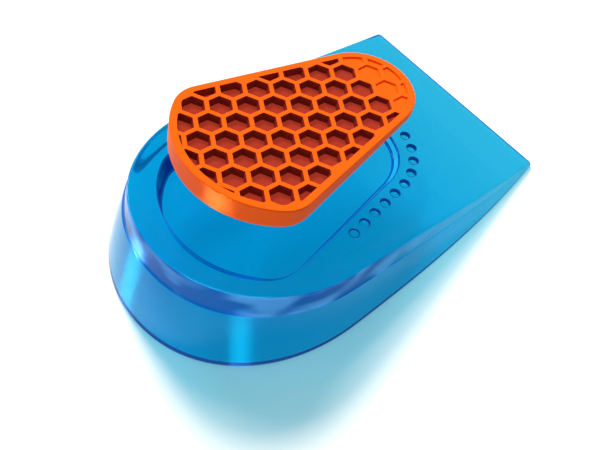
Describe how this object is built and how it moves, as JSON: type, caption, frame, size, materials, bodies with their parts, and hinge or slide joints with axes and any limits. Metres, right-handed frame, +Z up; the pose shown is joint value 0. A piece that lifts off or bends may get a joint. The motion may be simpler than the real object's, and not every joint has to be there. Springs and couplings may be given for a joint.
{
  "type": "heel cup",
  "caption": "Wedge-shaped gel heel cup with a raised heel rim, a recess with dimples round its front, and a honeycomb insert shown lifted out of the recess.",
  "frame": {"origin": "middle of the flat base, on the surface that the cup rests on", "axes": "+Z up, +Y from the heel towards the thin front edge, +X to the right of a foot that points along +Y"},
  "size_m": [0.065, 0.0984, 0.0387],
  "materials": {
    "blue_gel": "glossy translucent blue gel",
    "orange_gel": "soft matte orange elastomer"
  },
  "bodies": {
    "cup": {"gel_cup": "blue_gel"},
    "insert": {"honeycomb_insert": "orange_gel"}
  },
  "joints": [
    {"name": "insert_lift", "type": "slide", "parent": "cup", "child": "insert", "axis": [0, 0.213, 0.977], "range_m": [-0.0198, 0]}
  ]
}
